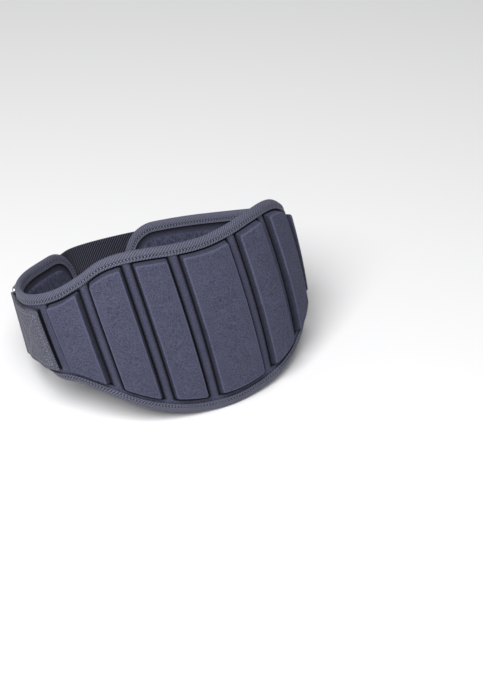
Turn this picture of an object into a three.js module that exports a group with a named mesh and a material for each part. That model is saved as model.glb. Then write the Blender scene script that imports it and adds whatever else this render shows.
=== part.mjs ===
// A neoprene fitness belt with a wide ribbed back, buckled into its waist loop and standing on a table.
// Millimetres, +Z up. The belt is laid out flat first, as it is sewn. In the flat pattern `along` runs
// round the waist from the middle of the back, negative towards the buckle end, `up` is the height above
// the belt's centre line, and `out` is the distance out from the wall's outer face.
// wrap() then bends the pattern round the waist.
import * as THREE from 'three';

// The waist loop, as plain arcs walked from the middle of the back towards each end
const WAIST = {
  buckleSide: [
    { length: 90, radius: 294 },
    { length: 100, radius: 141 },
    { length: 42, radius: 59 },
    { length: 110, radius: 140 },
    { length: 98, radius: Infinity },
  ],
  strapSide: [
    { length: 60, radius: 294 },
    { length: 70, radius: 141 },
    { length: 100, radius: 66 },
    { length: 60, radius: Infinity },
    { length: 120, radius: 218 },
  ],
};

// The wall seen from its end: its outward lean per millimetre of height, how far it lies inside the loop, how
// far it bows in 100 above and below the centre line, and how far its hem is tucked in by the tab. The ring
// lies where the lean is even.
const SECTIONS = [
  { along: -422, lean: 0, inset: 0, bow: 0, tuck: 0 },
  { along: -350, lean: 0.03, inset: 0, bow: 0, tuck: 2.5 },
  { along: -275, lean: 0.03, inset: 0, bow: 0, tuck: 6.5 },
  { along: -235, lean: 0.13, inset: 4.5, bow: 3, tuck: 7 },
  { along: -190, lean: 0.13, inset: 0, bow: 7, tuck: 3 },
  { along: -150, lean: 0.08, inset: 0, bow: 7, tuck: 0 },
  { along: -110, lean: 0.045, inset: 0, bow: 7, tuck: 0 },
  { along: 110, lean: 0, inset: 0, bow: 7, tuck: 0 },
  { along: 200, lean: 0, inset: 0, bow: 7, tuck: 0 },
  { along: 280, lean: 0, inset: 0, bow: 0, tuck: 0 },
];
const TUCK = { from: -23, to: -34.5 };  // heights between which the tuck grows

// The outline of the wall, the same on both sides of the back, and its rounded ends
const OUTLINE = [
  { along: 0, top: 87.5, bottom: -106 },
  { along: 35, top: 90, bottom: -102.5 },
  { along: 65, top: 94, bottom: -95.3 },
  { along: 95, top: 96, bottom: -83 },
  { along: 120, top: 92.5, bottom: -69 },
  { along: 145, top: 81, bottom: -53.5 },
  { along: 170, top: 71, bottom: -41.3 },
  { along: 200, top: 65.8, bottom: -36 },
  { along: 250, top: 63.5, bottom: -34.5 },
  { along: 310, top: 61.8, bottom: -34.5 },
  { along: 430, top: 59, bottom: -34.5 },
];
const BUCKLE_END = { along: -422, round: 45 };
const STRAP_END = { along: 397, round: 41 };

// Layers of the wall
const WALL = 6;            // foam core with its neoprene faces
const HEM = 11.5;          // rim of the wall under the tape, bent in where the wall is tucked
const RIM = 18;            // width of the rim that the edge tape squeezes
const RIM_SQUEEZE = 1.2;   // how far each face is pressed in at the very edge
const LINING = 2.6;        // looped lining panel on the inside, within the rim
const LINING_GAP = 0.6;
const TAPE = 1.2;          // edge tape
const TAPE_WIDTH = 9.5;    // how far it reaches in from the edge, on either face
const GAP = 0.3;           // clearance between sewn pieces
const TAPE_GAP = 0.5;      // clearance under the tape and the ribs
const TAPE_TURNS = [-0.3 * WALL, -0.7 * WALL];  // where the fold turns from the faces to the edge
const WALL_COLUMNS = 76;   // mesh columns between the two rounded ends
const END_STEPS = 6;       // mesh columns in each rounded end
const WALL_ROWS = 4;       // mesh rows between the two rims

// Raised foam ribs across the back, slanted a little, their lower ends towards the strap side
const RIBS = [
  { name: 'rib_1', middle: -159, width: 38 },
  { name: 'rib_2', middle: -108, width: 38 },
  { name: 'rib_3', middle: -57, width: 38 },
  { name: 'rib_4', middle: 6, width: 60 },
  { name: 'rib_5', middle: 69, width: 38 },
  { name: 'rib_6', middle: 120, width: 38 },
  { name: 'rib_7', middle: 171, width: 38 },
];
const RIB_HEIGHT = 7;        // how far a rib stands off the wall
const RIB_EDGE = 2.2;        // width of its bevelled edge
const RIB_WALL = 5.2;        // upright part of its side, below the bevel
const RIB_SLANT = 0.096;     // shift along the belt per millimetre of height
const RIB_TOP_MARGIN = 12;   // from the wall's edge
const RIB_BOTTOM_MARGIN = 15.5;
const RIB_COLUMNS = 3;
const RIB_ROWS = 6;

// Buckle: a ring of steel wire, held by a folded tab of webbing
const WIRE = 2.4;            // radius of the wire
const WIRE_SIDES = 8;
const RING = { freeBar: -334, tabBar: -287.5, middle: 15, height: 84, corner: 3 };
const CORNER_STEPS = 4;
const WEBBING = 1.8;         // thickness of the tab's webbing
const TAB = { end: -193, under: -198, middle: 15, height: 72, slant: 0.07 };

// Closure strap, sewn over the strap end, through the ring and back on itself
const STRAP = { start: 203, thickness: 2, height: 73, middleAtStart: 17, middleAtTip: 14.8 };
const STRAP_LIFT = 1.6;      // its inner face lies this far out, over the edge tape
const STRAP_FOLD = 22;       // length that lies back over it past the ring
const CROSSING_HANDLE = 0.28; // the crossing's two handles, as a share of the distance crossed

// Bands of webbing
const BAND_STEP = 9;         // longest mesh column along a band
const BAND_ROWS = 4;
const BAR_STEPS = 6;         // mesh columns round a bar
const BAND_SLOPE = 0.36;     // angle at which a band comes down from a bar, in radians

// Woven patch on the strap's sewn end, left bare
const LABEL = { from: 206, to: 330, middle: 17, height: 53, thickness: 0.8 };

// A table's column named `key`, read at `where`, with a soft step from each row to the next
function easeTable(table, key, where) {
  const next = table.findIndex(({ along }) => along >= where);
  if (next === 0) return table[0][key];
  if (next < 0) return table.at(-1)[key];
  const [start, end] = [table[next - 1], table[next]];
  const share = THREE.MathUtils.smoothstep(where, start.along, end.along);
  return THREE.MathUtils.lerp(start[key], end[key], share);
}

// Smooth curve through the rows of a table, read at `where` in the column named `key`
function readTable(table, key, where) {
  const last = table.length - 1;
  const clamped = Math.min(Math.max(where, table[0].along), table[last].along);
  let row = 0;
  while (row < last - 1 && clamped > table[row + 1].along) row += 1;
  const slope = (index) => {
    if (index === 0 || index === last) return 0;
    const [before, after] = [table[index - 1], table[index + 1]];
    return (after[key] - before[key]) / (after.along - before.along);
  };
  const [start, end] = [table[row], table[row + 1]];
  const span = end.along - start.along;
  const t = (clamped - start.along) / span;
  const t2 = t * t;
  const t3 = t2 * t;
  return (2 * t3 - 3 * t2 + 1) * start[key] + (t3 - 2 * t2 + t) * span * slope(row)
    + (3 * t2 - 2 * t3) * end[key] + (t3 - t2) * span * slope(row + 1);
}

// Place and heading on the waist loop, `along` from the middle of the back
function onWaist(along) {
  const arcs = along < 0 ? WAIST.buckleSide : WAIST.strapSide;
  let [left, x, y, heading] = [Math.abs(along), 0, 0, 0];
  for (const arc of arcs) {
    const length = Math.min(left, arc.length);
    const turn = length / arc.radius;
    const chord = turn === 0 ? length : 2 * arc.radius * Math.sin(turn / 2);
    x += chord * Math.cos(heading + turn / 2);
    y += chord * Math.sin(heading + turn / 2);
    heading += turn;
    left -= length;
  }
  return along < 0 ? { x: -x, y, heading: -heading } : { x, y, heading };
}

// How far out from the waist loop the wall's outer face lies
function flare(along, up) {
  const [lean, inset, bow, tuck] = ['lean', 'inset', 'bow', 'tuck'].map((key) => (
    easeTable(SECTIONS, key, along)
  ));
  const tucked = Math.max(0, (TUCK.from - up) / (TUCK.from - TUCK.to));
  return lean * up - inset - bow * (up / 100) ** 2 - tuck * tucked;
}

// Bend a point of the flat pattern round the waist
function wrap(along, up, out) {
  const { x, y, heading } = onWaist(along);
  const reach = out + flare(along, up);
  return new THREE.Vector3(x + reach * Math.sin(heading), y - reach * Math.cos(heading), up);
}

// How far the outline's rounded ends cut into the height at `along`, for an outline drawn `inset` inside
function endCut(along, inset) {
  for (const end of [BUCKLE_END, STRAP_END]) {
    const radius = end.round - inset;
    const fromEnd = Math.abs(end.along - along) - inset;
    if (fromEnd < radius) return radius - Math.sqrt(Math.max(0, radius ** 2 - (radius - fromEnd) ** 2));
  }
  return 0;
}

function topEdge(along, inset = 0) {
  return readTable(OUTLINE, 'top', Math.abs(along)) - inset - endCut(along, inset);
}

function bottomEdge(along, inset = 0) {
  return readTable(OUTLINE, 'bottom', Math.abs(along)) + inset + endCut(along, inset);
}

// Distance from a point of the wall to its outline: up and down on the long edges, straight in at the ends
function rimDistance(along, up) {
  const toTop = readTable(OUTLINE, 'top', Math.abs(along)) - up;
  const toBottom = up - readTable(OUTLINE, 'bottom', Math.abs(along));
  for (const end of [BUCKLE_END, STRAP_END]) {
    const fromEnd = Math.abs(end.along - along);
    if (fromEnd < end.round) {
      const toEdge = Math.min(toTop, toBottom);
      if (toEdge >= end.round) return fromEnd;
      return end.round - Math.hypot(end.round - fromEnd, end.round - toEdge);
    }
  }
  return Math.min(toTop, toBottom);
}

function squeeze(distance) {
  return RIM_SQUEEZE * Math.max(0, 1 - distance / RIM);
}

// Mesh columns of the wall: close together round the ends, even between them
function wallColumns(inset) {
  const columns = [];
  const quarter = Math.PI / 2;
  for (let i = 0; i < END_STEPS; i += 1) {
    const depth = (BUCKLE_END.round - inset) * (1 - Math.cos(quarter * i / END_STEPS));
    columns.push(BUCKLE_END.along + inset + depth);
  }
  const [from, to] = [BUCKLE_END.along + BUCKLE_END.round, STRAP_END.along - STRAP_END.round];
  for (let i = 0; i <= WALL_COLUMNS; i += 1) columns.push(THREE.MathUtils.lerp(from, to, i / WALL_COLUMNS));
  for (let i = END_STEPS - 1; i >= 0; i -= 1) {
    const depth = (STRAP_END.round - inset) * (1 - Math.cos(quarter * i / END_STEPS));
    columns.push(STRAP_END.along - inset - depth);
  }
  return columns;
}

// A box of columns by rows, one layer thick, every corner of it moved by point(column, row, layer).
// Layer 0 is the inner face and layer 1 the outer face.
function shapedSlab(columns, rows, point) {
  const geometry = new THREE.BoxGeometry(1, 1, 1, columns, rows, 1);
  const corners = geometry.attributes.position;
  for (let i = 0; i < corners.count; i += 1) {
    const column = Math.round((corners.getX(i) + 0.5) * columns);
    const row = Math.round((corners.getY(i) + 0.5) * rows);
    const layer = Math.round(corners.getZ(i) + 0.5);
    const place = point(column, row, layer);
    corners.setXYZ(i, place.x, place.y, place.z);
  }
  geometry.deleteAttribute('uv');
  geometry.computeVertexNormals();
  return geometry;
}

// A closed tube through rings of points, the last ring joined to the first
function closedSweep(rings) {
  const sides = rings[0].length;
  const corners = rings.flat().flatMap((corner) => corner.toArray());
  const faces = [];
  rings.forEach((_, i) => {
    const next = (i + 1) % rings.length;
    for (let j = 0; j < sides; j += 1) {
      const side = (j + 1) % sides;
      const [a, b, c, d] = [i * sides + j, next * sides + j, next * sides + side, i * sides + side];
      faces.push(a, b, c, a, c, d);
    }
  });
  const geometry = new THREE.BufferGeometry();
  geometry.setAttribute('position', new THREE.Float32BufferAttribute(corners, 3));
  geometry.setIndex(faces);
  geometry.computeVertexNormals();
  return geometry;
}

// The foam wall, a little thinner along its rim
function bodyGeometry() {
  const columns = wallColumns(0);
  const rows = WALL_ROWS + 2;
  return shapedSlab(columns.length - 1, rows, (column, row, layer) => {
    const along = columns[column];
    const [top, bottom] = [topEdge(along), bottomEdge(along)];
    const hem = Math.min(HEM, (top - bottom) / rows);
    let up = THREE.MathUtils.lerp(bottom + hem, top - hem, (row - 1) / WALL_ROWS);
    if (row === 0) up = bottom;
    if (row === rows) up = top;
    const pressed = squeeze(rimDistance(along, up));
    return wrap(along, up, layer === 1 ? -pressed : pressed - WALL);
  });
}

// The lining panel, against the wall's inner face and within its rim
function liningGeometry() {
  const columns = wallColumns(RIM);
  return shapedSlab(columns.length - 1, WALL_ROWS, (column, row, layer) => {
    const along = columns[column];
    const up = THREE.MathUtils.lerp(bottomEdge(along, RIM), topEdge(along, RIM), row / WALL_ROWS);
    return wrap(along, up, -WALL - LINING_GAP - (layer === 1 ? 0 : LINING));
  });
}

// The points that the edge tape follows, once round the outline, each with its way in from the edge
function outlineStations() {
  const columns = wallColumns(0);
  const station = (along, up, sign) => {
    const end = along < 0 ? BUCKLE_END : STRAP_END;
    const towards = along < 0 ? 1 : -1;
    const depth = Math.min(Math.abs(end.along - along), end.round);
    const turn = Math.acos(1 - depth / end.round);
    return { along, up, inAlong: towards * Math.cos(turn), inUp: sign * Math.sin(turn) };
  };
  const upper = columns.map((along) => station(along, topEdge(along), -1));
  const lower = columns.map((along) => station(along, bottomEdge(along), 1));
  return [...upper, ...lower.reverse()];
}

// Twill tape folded over the edge: a U section carried round the whole outline
function bindingGeometry() {
  const fold = -TAPE_GAP - TAPE;
  const [rimFace, flankFace] = [squeeze(0), squeeze(TAPE_WIDTH)];
  const [near, far] = [TAPE_GAP, TAPE_GAP + TAPE];
  const section = [
    [TAPE_WIDTH, far - flankFace], [0, far - rimFace], [fold, TAPE_TURNS[0]],
    [fold, TAPE_TURNS[1]], [0, rimFace - WALL - far], [TAPE_WIDTH, flankFace - WALL - far],
    [TAPE_WIDTH, flankFace - WALL - near], [-TAPE_GAP, rimFace - WALL - near],
    [-TAPE_GAP, near - rimFace], [TAPE_WIDTH, near - flankFace],
  ];
  return closedSweep(outlineStations().map(({ along, up, inAlong, inUp }) => (
    section.map(([inward, out]) => wrap(along + inAlong * inward, up + inUp * inward, out))
  )));
}

// A slanted foam rib with upright sides and a bevelled edge
function ribGeometry({ middle, width }) {
  const across = [0];
  for (let i = 0; i <= RIB_COLUMNS; i += 1) {
    across.push(THREE.MathUtils.lerp(RIB_EDGE, width - RIB_EDGE, i / RIB_COLUMNS));
  }
  across.push(width);
  const [columns, rows] = [across.length - 1, RIB_ROWS + 2];
  return shapedSlab(columns, rows, (column, row, layer) => {
    const foot = middle - width / 2 + across[column];
    const top = topEdge(foot - RIB_SLANT * topEdge(foot)) - RIB_TOP_MARGIN;
    const bottom = bottomEdge(foot - RIB_SLANT * bottomEdge(foot)) + RIB_BOTTOM_MARGIN;
    let up = THREE.MathUtils.lerp(bottom + RIB_EDGE, top - RIB_EDGE, (row - 1) / RIB_ROWS);
    if (row === 0) up = bottom;
    if (row === rows) up = top;
    const atEdge = column === 0 || column === columns || row === 0 || row === rows;
    const face = atEdge ? RIB_WALL : RIB_HEIGHT;
    return wrap(foot - RIB_SLANT * up, up, TAPE_GAP + (layer === 1 ? face : 0));
  });
}

// A station of a band's middle line on the wall, as a function of height and of depth out from that line
function wallStation(along, out) {
  return (up, depth) => wrap(along, up, out + depth);
}

// The same, where the band runs back towards the buckle end and its outer face looks at the wall
function backStation(along, out) {
  return (up, depth) => wrap(along, up, out - depth);
}

// A band's stations on the wall between two places, the first of them left out
function wallRun(station, from, to, out) {
  const steps = Math.ceil(Math.abs(to - from) / BAND_STEP);
  return Array.from({ length: steps }, (_, i) => (
    station(THREE.MathUtils.lerp(from, to, (i + 1) / steps), out)
  ));
}

// A band's stations round a bar. The angle is 0 on the wall side and PI on the outside, and `way` is the
// side of the bar that the band passes, 1 for the strap side and -1 for the buckle end.
function barTurn({ bar, axis, radius, way, from, to }) {
  return Array.from({ length: BAR_STEPS + 1 }, (_, i) => {
    const angle = THREE.MathUtils.lerp(from, to, i / BAR_STEPS);
    return (up, depth) => {
      const reach = radius - depth;
      return wrap(bar + way * reach * Math.sin(angle), up, axis - reach * Math.cos(angle));
    };
  });
}

// How far from a bar a sloping band comes down from it to the height `level`
function landing(axis, radius, level) {
  const drop = axis + radius * Math.cos(BAND_SLOPE) - level;
  return radius * Math.sin(BAND_SLOPE) + drop / Math.tan(BAND_SLOPE);
}

// A flat band through its stations, its centre line at the height middle(share of the way)
function bandGeometry(stations, height, thickness, middle) {
  const columns = stations.length - 1;
  return shapedSlab(columns, BAND_ROWS, (column, row, layer) => {
    const up = middle(column / columns) + height * (row / BAND_ROWS - 0.5);
    return stations[column](up, thickness * (layer - 0.5));
  });
}

// Heights out from the wall of the tab's and the strap's middle lines, and of the two bars they go round
const tabLevel = GAP + WEBBING / 2;
const tabRadius = WIRE + GAP + WEBBING / 2;
const tabAxis = tabLevel + tabRadius;
const strapLevel = STRAP_LIFT + STRAP.thickness / 2;
const strapRadius = WIRE + GAP + STRAP.thickness / 2;
const strapAxis = strapLevel + strapRadius;

// A tab station that slants like the ribs, square at the bar and all of its slant at the stitched end
function slanted(station) {
  return (along, out) => (up, depth) => {
    const share = (along - RING.tabBar) / (TAB.end - RING.tabBar);
    return station(along - TAB.slant * share * (up - TAB.middle), out)(up, depth);
  };
}

// The tab runs from its stitched end to the bar, round it, and back under itself
function tabGeometry() {
  const upper = tabLevel + WEBBING + GAP;
  const down = RING.tabBar + landing(tabAxis, tabRadius, upper);
  const stations = [
    slanted(backStation)(TAB.end, upper),
    ...wallRun(slanted(backStation), TAB.end, down, upper),
    ...barTurn({
      bar: RING.tabBar, axis: tabAxis, radius: tabRadius, way: -1, from: Math.PI + BAND_SLOPE, to: 0,
    }),
    ...wallRun(slanted(wallStation), RING.tabBar, TAB.under, tabLevel),
  ];
  return bandGeometry(stations, TAB.height, WEBBING, () => TAB.middle);
}

// The strap's stations across the open front, from the strap end to the buckle end
function crossing() {
  const ends = [STRAP_END, BUCKLE_END].map(({ along }) => ({
    place: wrap(along, 0, strapLevel),
    heading: onWaist(along).heading,
  }));
  const handle = CROSSING_HANDLE * ends[0].place.distanceTo(ends[1].place);
  const [leave, arrive] = ends.map(({ heading }) => (
    new THREE.Vector3(Math.cos(heading), Math.sin(heading), 0).multiplyScalar(handle)
  ));
  const curve = new THREE.CubicBezierCurve3(
    ends[0].place,
    ends[0].place.clone().add(leave),
    ends[1].place.clone().sub(arrive),
    ends[1].place,
  );
  const steps = Math.ceil(curve.getLength() / BAND_STEP);
  return Array.from({ length: steps }, (_, i) => {
    const middle = curve.getPointAt((i + 1) / steps);
    const heading = curve.getTangentAt((i + 1) / steps);
    return (up, depth) => (
      new THREE.Vector3(middle.x + depth * heading.y, middle.y - depth * heading.x, up)
    );
  });
}

function strapGeometry() {
  const upper = strapLevel + STRAP.thickness + GAP;
  const down = RING.freeBar - landing(strapAxis, strapRadius, upper);
  const stations = [
    wallStation(STRAP.start, strapLevel),
    ...wallRun(wallStation, STRAP.start, STRAP_END.along, strapLevel),
    ...crossing(),
    ...wallRun(wallStation, BUCKLE_END.along, RING.freeBar, strapLevel).slice(0, -1),
    ...barTurn({
      bar: RING.freeBar, axis: strapAxis, radius: strapRadius, way: 1, from: 0, to: Math.PI + BAND_SLOPE,
    }),
    backStation(down, upper),
    backStation(RING.freeBar - STRAP_FOLD, upper),
  ];
  return bandGeometry(stations, STRAP.height, STRAP.thickness, (share) => (
    THREE.MathUtils.lerp(STRAP.middleAtStart, STRAP.middleAtTip, share)
  ));
}

// The wire ring: flat, through both bars, leaning with the wall, with rounded corners
function ringGeometry() {
  const free = wrap(RING.freeBar, RING.middle, strapAxis);
  const held = wrap(RING.tabBar, RING.middle, tabAxis);
  const across = held.clone().sub(free);
  const width = across.length();
  across.normalize();
  const half = RING.height / 2 - WIRE;
  const upwards = wrap(RING.freeBar, RING.middle + half, strapAxis).sub(free)
    .add(wrap(RING.tabBar, RING.middle + half, tabAxis).sub(held)).normalize();
  const outwards = new THREE.Vector3().crossVectors(across, upwards).normalize();
  const corners = [
    { x: width - RING.corner, z: half - RING.corner },
    { x: RING.corner, z: half - RING.corner },
    { x: RING.corner, z: RING.corner - half },
    { x: width - RING.corner, z: RING.corner - half },
  ];
  const rings = corners.flatMap((corner, quarter) => (
    Array.from({ length: CORNER_STEPS + 1 }, (_, i) => {
      const angle = (quarter + i / CORNER_STEPS) * Math.PI / 2;
      const radial = across.clone().multiplyScalar(Math.cos(angle))
        .addScaledVector(upwards, Math.sin(angle));
      const centre = free.clone().addScaledVector(across, corner.x)
        .addScaledVector(upwards, corner.z).addScaledVector(radial, RING.corner);
      return Array.from({ length: WIRE_SIDES }, (__, j) => {
        const turn = 2 * Math.PI * (j + 0.5) / WIRE_SIDES;
        return centre.clone().addScaledVector(radial, WIRE * Math.cos(turn))
          .addScaledVector(outwards, WIRE * Math.sin(turn));
      });
    })
  ));
  return closedSweep(rings);
}

function labelGeometry() {
  const out = STRAP_LIFT + STRAP.thickness + GAP + LABEL.thickness / 2;
  const stations = [
    wallStation(LABEL.from, out),
    ...wallRun(wallStation, LABEL.from, LABEL.to, out),
  ];
  return bandGeometry(stations, LABEL.height, LABEL.thickness, () => LABEL.middle);
}

// Each piece's colour and finish
const NEOPRENE = { color: '#55576d', roughness: 0.9 };
const FINISHES = {
  belt_body: NEOPRENE,
  inner_lining: { color: '#4b4e66', roughness: 1 },
  edge_binding: { color: '#6c6e82', roughness: 0.8 },
  buckle_tab: { color: '#5e5f6c', roughness: 0.8 },
  buckle_ring: { color: '#b9bacb', roughness: 0.25, metalness: 1 },
  closure_strap: { color: '#33343f', roughness: 0.8 },
  label_patch: { color: '#8189a0', roughness: 0.7 },
};

function piece(name, geometry, finish = FINISHES[name]) {
  const mesh = new THREE.Mesh(geometry, new THREE.MeshStandardMaterial(finish));
  mesh.name = name;
  return mesh;
}

// The turn that stands the belt on its three lowest places: the bulge of the back, and the lower edge of
// each wing. `corners` are its points before the turn. Each round levels the three places found so far.
const STANDING_ROUNDS = 8;
function standingTurn(corners) {
  const upright = new THREE.Vector3(0, 0, 1);
  const front = wrap(RING.freeBar, 0, 0).y / 2;
  const feet = [
    corners.filter((corner) => corner.y < front),
    corners.filter((corner) => corner.y > front && corner.x < 0),
    corners.filter((corner) => corner.y > front && corner.x > 0),
  ];
  const turn = new THREE.Quaternion();
  const height = (corner) => corner.clone().applyQuaternion(turn).z;
  for (let round = 0; round < STANDING_ROUNDS; round += 1) {
    const lowest = feet.map((group) => {
      const foot = group.reduce((low, corner) => (height(corner) < height(low) ? corner : low));
      return foot.clone().applyQuaternion(turn);
    });
    const floor = new THREE.Plane().setFromCoplanarPoints(...lowest).normal;
    if (floor.z < 0) floor.negate();
    turn.premultiply(new THREE.Quaternion().setFromUnitVectors(floor, upright));
  }
  return turn;
}

const pieces = [
  piece('belt_body', bodyGeometry()),
  piece('inner_lining', liningGeometry()),
  piece('edge_binding', bindingGeometry()),
  ...RIBS.map((rib) => piece(rib.name, ribGeometry(rib), NEOPRENE)),
  piece('buckle_tab', tabGeometry()),
  piece('buckle_ring', ringGeometry()),
  piece('closure_strap', strapGeometry()),
  piece('label_patch', labelGeometry()),
];

const belt = new THREE.Group();
belt.add(...pieces);

const corners = pieces.flatMap(({ geometry }) => {
  const position = geometry.attributes.position;
  return Array.from({ length: position.count }, (_, i) => (
    new THREE.Vector3().fromBufferAttribute(position, i)
  ));
});
belt.quaternion.copy(standingTurn(corners));
belt.updateMatrixWorld(true);

// The origin is on the table, under the middle of the standing belt
const reach = new THREE.Box3().setFromObject(belt, true);
const middle = reach.getCenter(new THREE.Vector3());
belt.position.set(-middle.x, -middle.y, -reach.min.z);
belt.updateMatrixWorld(true);

export default belt;
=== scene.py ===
"""A neoprene fitness belt with a wide ribbed back, buckled into its waist loop and standing on a pale floor.
Metres, +Z up. Every sewn piece is modelled in the belt's flat pattern, where X runs along the belt from the
middle of the back, -Y is outwards and Z is up, and is then bent round the waist."""
import math

import bpy
import numpy as np
from mathutils import Euler, Matrix, Vector


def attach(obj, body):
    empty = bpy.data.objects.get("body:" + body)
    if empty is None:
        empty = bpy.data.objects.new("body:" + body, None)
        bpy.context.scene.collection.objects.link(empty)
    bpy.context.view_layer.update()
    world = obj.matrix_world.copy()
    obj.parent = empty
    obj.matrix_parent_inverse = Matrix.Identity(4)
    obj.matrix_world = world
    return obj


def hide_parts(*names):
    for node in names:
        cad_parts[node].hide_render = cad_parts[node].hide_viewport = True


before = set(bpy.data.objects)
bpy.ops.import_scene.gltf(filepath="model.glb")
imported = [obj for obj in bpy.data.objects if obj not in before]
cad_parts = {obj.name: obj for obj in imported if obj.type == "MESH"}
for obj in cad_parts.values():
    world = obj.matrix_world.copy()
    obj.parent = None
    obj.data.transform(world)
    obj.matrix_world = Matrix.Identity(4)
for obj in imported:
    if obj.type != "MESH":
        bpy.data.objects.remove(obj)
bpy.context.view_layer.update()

BODY = "root"

# Foam wall. The body of the belt is a sheet of neoprene sponge, 6 mm thick and faced on both sides with fine
# jersey, cut tall over the back and narrow at the wings. It is bent round the waist and curls in a little
# above and below, and its outer jersey dips into a crease round the foot of every rib.
BUCKLE_SIDE_ARCS = [(0.090, 0.294), (0.100, 0.141), (0.042, 0.059), (0.110, 0.140), (0.098, math.inf)]
STRAP_SIDE_ARCS = [(0.060, 0.294), (0.070, 0.141), (0.100, 0.066), (0.060, math.inf), (0.120, 0.218)]
OUTLINE = {
    "along": [0, 0.035, 0.065, 0.095, 0.120, 0.145, 0.170, 0.200, 0.250, 0.310, 0.430],
    "top": [0.0875, 0.090, 0.094, 0.096, 0.0925, 0.081, 0.071, 0.0658, 0.0635, 0.0618, 0.059],
    "bottom": [-0.106, -0.1025, -0.0953, -0.083, -0.069, -0.0535, -0.0413, -0.036, -0.0345, -0.0345, -0.0345],
}
SIDE_SHAPE = {
    "along": [-0.422, -0.350, -0.275, -0.235, -0.190, -0.150, -0.110, 0.110, 0.200, 0.280],
    "lean": [0, 0.03, 0.03, 0.13, 0.13, 0.08, 0.045, 0, 0, 0],
    "inset": [0, 0, 0, 0.0045, 0, 0, 0, 0, 0, 0],
    "bow": [0, 0, 0, 0.003, 0.007, 0.007, 0.007, 0.007, 0.007, 0],
    "tuck": [0, 0.0025, 0.0065, 0.007, 0.003, 0, 0, 0, 0, 0],
}
BOW_HEIGHT = 0.1  # where the wall stands in by its full bow
TUCK_FROM, TUCK_TO = -0.023, -0.0345
BUCKLE_END, BUCKLE_ROUND = -0.422, 0.045
STRAP_END, STRAP_ROUND = 0.397, 0.041
STANDING_TURN = Euler([math.radians(angle) for angle in (-18.9849, 0.7839, 0.7167)]).to_matrix()
STANDING_PLACE = Vector((0.015407, -0.116755, 0.106623))
WALL = 0.006
RIM, RIM_SQUEEZE = 0.018, 0.0012  # towards its edge the wall is pressed thinner
RIBS = {"rib_1": -0.159, "rib_2": -0.108, "rib_3": -0.057, "rib_4": 0.006, "rib_5": 0.069, "rib_6": 0.120,
        "rib_7": 0.171}
RIB_WIDTH, WIDE_RIB_WIDTH = 0.038, 0.060
RIB_SLANT = 0.096
RIB_TOP_MARGIN, RIB_BOTTOM_MARGIN = 0.012, 0.0155
CREASE_DEPTH, CREASE_WIDTH = 0.0028, 0.0040
TAB_CREASE, END_CREASE = 2.3, 1.6  # how much narrower the crease is beside the tab, and beyond a rib's ends
SHADE_WIDTH, SHADE_STRENGTH, SHADE_FADE = 0.0046, 1.5, 1.3  # the painted shade of the crease
STRIP_OVERLAP, STRIP_STRENGTH, STRIP_DARKEST = 0.002, 1.9, 0.95  # the painted shade on the strip between lining and tape
TAB_END, TAB_MIDDLE, TAB_HEIGHT, TAB_SLANT = -0.193, 0.015, 0.072, 0.07


def eased(table, column, where):
    """A column of a table read at `where`, with a soft step from each row to the next."""
    along, value = np.array(table["along"]), np.array(table[column], float)
    row = np.clip(np.searchsorted(along, where), 1, len(along) - 1)
    share = np.clip((where - along[row - 1]) / (along[row] - along[row - 1]), 0, 1)
    share = share * share * (3 - 2 * share)
    return value[row - 1] + (value[row] - value[row - 1]) * share


def flowing(table, column, where):
    """A column of a table read at `where`, on a smooth curve through its rows."""
    along, value = np.array(table["along"]), np.array(table[column], float)
    where = np.clip(where, along[0], along[-1])
    slope = np.zeros(len(along))
    slope[1:-1] = (value[2:] - value[:-2]) / (along[2:] - along[:-2])
    row = np.clip(np.searchsorted(along, where), 1, len(along) - 1)
    span = along[row] - along[row - 1]
    t = (where - along[row - 1]) / span
    rise = value[row - 1] * (2 * t**3 - 3 * t**2 + 1) + value[row] * (3 * t**2 - 2 * t**3)
    return rise + span * (slope[row - 1] * (t**3 - 2 * t**2 + t) + slope[row] * (t**3 - t**2))


def on_waist(along):
    """Place and heading on the waist loop, `along` from the middle of the back."""
    x, y, heading = np.zeros((3, len(along)))
    for on_side, arcs in ((along < 0, BUCKLE_SIDE_ARCS), (along >= 0, STRAP_SIDE_ARCS)):
        left = np.where(on_side, np.abs(along), 0.0)
        for length, radius in arcs:
            run = np.minimum(left, length)
            turn = run / radius
            chord = run * np.sinc(turn / (2 * math.pi))
            x += chord * np.cos(heading + turn / 2)
            y += chord * np.sin(heading + turn / 2)
            heading += turn
            left -= run
    side = np.where(along < 0, -1.0, 1.0)
    return x * side, y, heading * side


def flare(along, up):
    """How far out from the waist loop the wall's outer face lies."""
    low = np.clip((TUCK_FROM - up) / (TUCK_FROM - TUCK_TO), 0, None)
    lean, inset, bow, tuck = (eased(SIDE_SHAPE, column, along) for column in ("lean", "inset", "bow", "tuck"))
    return lean * up - inset - bow * (up / BOW_HEIGHT) ** 2 - tuck * low


def stood(points):
    """Points of the upright loop, turned to where they are on the standing belt."""
    return points @ np.array(STANDING_TURN).T + np.array(STANDING_PLACE)


def wrapped(along, out, up):
    """Where points of the flat pattern are on the standing belt."""
    x, y, heading = on_waist(along)
    reach = out + flare(along, up)
    return stood(np.stack([x + reach * np.sin(heading), y - reach * np.cos(heading), up], axis=1))


def end_cut(along, inset):
    """How far the rounded ends cut into the height at `along`, for an outline drawn `inset` inside."""
    cut = np.zeros(len(along))
    for end, rounding in ((BUCKLE_END, BUCKLE_ROUND), (STRAP_END, STRAP_ROUND)):
        radius = rounding - inset
        short = np.clip(radius - (np.abs(end - along) - inset), 0, radius)
        cut += radius - np.sqrt(radius**2 - short**2)
    return cut


def top_edge(along, inset=0.0):
    return flowing(OUTLINE, "top", np.abs(along)) - inset - end_cut(along, inset)


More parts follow.
